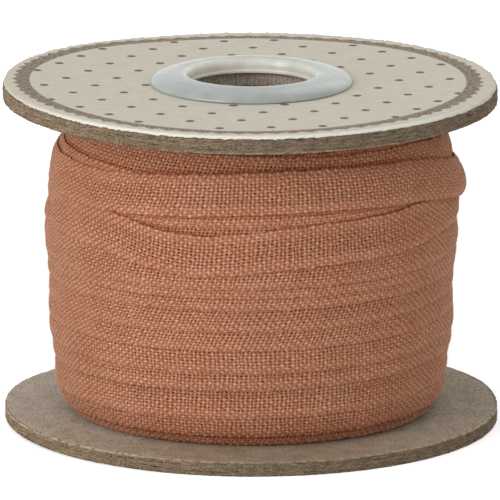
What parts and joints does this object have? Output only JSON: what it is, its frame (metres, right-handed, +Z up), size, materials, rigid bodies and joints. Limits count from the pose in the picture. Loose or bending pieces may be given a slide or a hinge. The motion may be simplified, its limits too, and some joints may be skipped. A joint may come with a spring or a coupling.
{
  "type": "spool of cotton ribbon",
  "caption": "Card spool wound with narrow plain-woven cotton ribbon, with a dotted paper label and a plastic eyelet on its upper flange.",
  "frame": {"origin": "centre of the lower flange's underside, on the surface that the spool stands on", "axes": "+Z up along the spool's axis, through the label; -Y towards the front, where the last two turns part; +X to the right of the front"},
  "size_m": [0.08, 0.08, 0.0575],
  "materials": {
    "greyboard": "matt laminated greyboard, fibrous cut edge",
    "label_paper": "printed paper with small brown dots and a toothed brown ring, faint satin",
    "core_card": "matt spiral-wound card",
    "milky_plastic": "translucent milky plastic, glossy",
    "ribbon_cotton": "plain-woven cotton tape, matt, with small holes between the threads"
  },
  "bodies": {
    "root": {"flange_bottom": "greyboard", "flange_top": "greyboard", "label": "label_paper", "core_tube": "core_card", "eyelet": "milky_plastic", "winding": "ribbon_cotton"}
  },
  "joints": []
}
